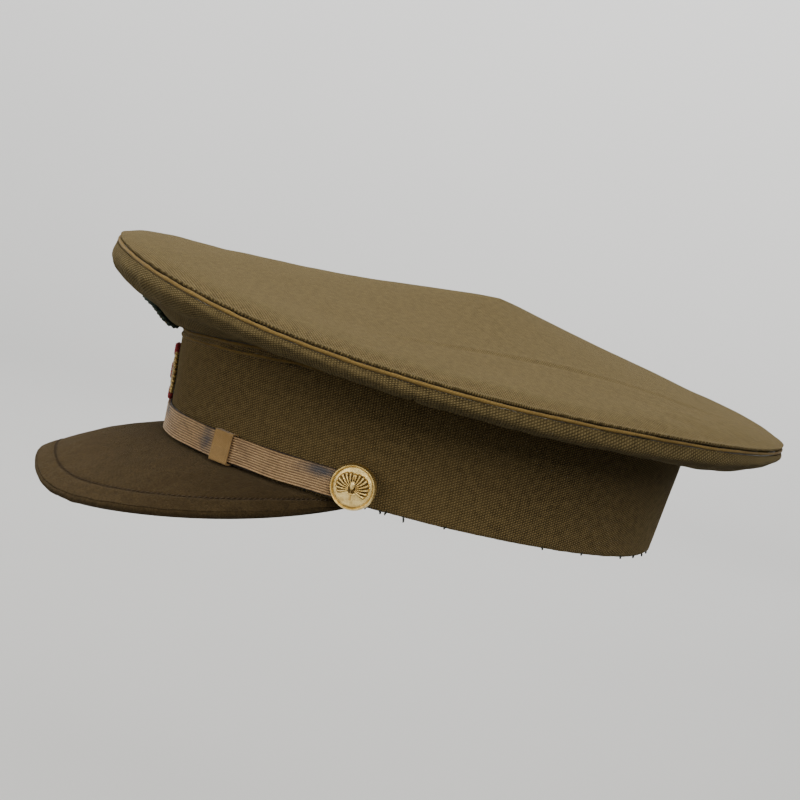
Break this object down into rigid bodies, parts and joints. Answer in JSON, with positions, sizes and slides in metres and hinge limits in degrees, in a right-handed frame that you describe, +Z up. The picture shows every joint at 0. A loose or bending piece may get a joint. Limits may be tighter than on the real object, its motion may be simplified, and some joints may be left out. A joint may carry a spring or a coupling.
{
  "type": "military peaked cap",
  "caption": "Stiff-crowned uniform cap with a deep head band, a bound cloth peak, piped seams and a lace chin strap that runs from button to button.",
  "frame": {"origin": "centre of the head opening, in the plane of the band's bottom edge", "axes": "+Z up, -Y the front with the peak, +X the wearer's left"},
  "size_m": [0.2558, 0.3031, 0.1178],
  "materials": {
    "crown_cloth": "wool gabardine",
    "band_cloth": "wool twill",
    "peak_cloth": "felted wool",
    "peak_lining": "cotton",
    "piping": "wool piping",
    "interlining": "cotton buckram",
    "stiffener": "pressed board",
    "lining": "cotton sateen",
    "sweatband_leather": "smooth",
    "spring_wire": "drawn",
    "ferrule_brass": "satin",
    "thread": "cotton thread",
    "lace": "tarnished metal lace",
    "strap_leather": "smooth",
    "keeper": "woven",
    "button_brass": "aged",
    "badge_felt": "felt",
    "badge_gold": "bullion embroidery",
    "badge_red": "embroidery"
  },
  "bodies": {
    "cap": {"crown_top": "crown_cloth", "quarter_front_left": "crown_cloth", "quarter_front_right": "crown_cloth", "quarter_rear_left": "crown_cloth", "quarter_rear_right": "crown_cloth", "crown_piping": "piping", "band_piping_lower": "piping", "band_piping_upper": "piping", "crown_hoop": "spring_wire", "hoop_ferrule": "ferrule_brass", "crown_interlining": "interlining", "front_stay": "stiffener", "band_stiffener": "stiffener", "lining_side": "lining", "lining_top": "lining", "band_cloth": "band_cloth", "band_welt": "band_cloth", "sweatband": "sweatband_leather", "peak_cover": "peak_cloth", "peak_binding": "peak_cloth", "peak_board": "stiffener", "peak_lining": "peak_lining", "peak_stitching": "thread", "strap_lace": "lace", "strap_backing": "strap_leather", "band_badge_backing": "badge_felt", "band_badge_wreath": "badge_gold", "band_badge_centre": "badge_red", "crown_badge_backing": "badge_felt", "crown_badge_emblem": "badge_gold"},
    "keeper_left": {"keeper_left": "keeper"},
    "keeper_right": {"keeper_right": "keeper"},
    "button_left": {"button_shell_left": "button_brass", "button_back_left": "button_brass", "button_prongs_left": "button_brass"},
    "button_right": {"button_shell_right": "button_brass", "button_back_right": "button_brass", "button_prongs_right": "button_brass"}
  },
  "joints": [
    {"name": "left_button_turn", "type": "hinge", "parent": "cap", "child": "button_left", "pos_m": [0.08551, -0.02392, 0.0073], "axis": [0.9838, -0.1795, 0], "range_deg": [-20, 20]},
    {"name": "right_button_turn", "type": "hinge", "parent": "cap", "child": "button_right", "pos_m": [-0.08551, -0.02392, 0.0073], "axis": [-0.9838, -0.1795, 0], "range_deg": [-20, 20]},
    {"name": "left_keeper_slide", "type": "hinge", "parent": "cap", "child": "keeper_left", "pos_m": [-0.01546, -0.0138, 0.00588], "axis": [-0.006, -0.013, 0.9999], "range_deg": [-9, 9]},
    {"name": "right_keeper_slide", "type": "hinge", "parent": "cap", "child": "keeper_right", "pos_m": [0.01546, -0.0138, 0.00588], "axis": [0.006, -0.013, 0.9999], "range_deg": [-9, 9]}
  ]
}
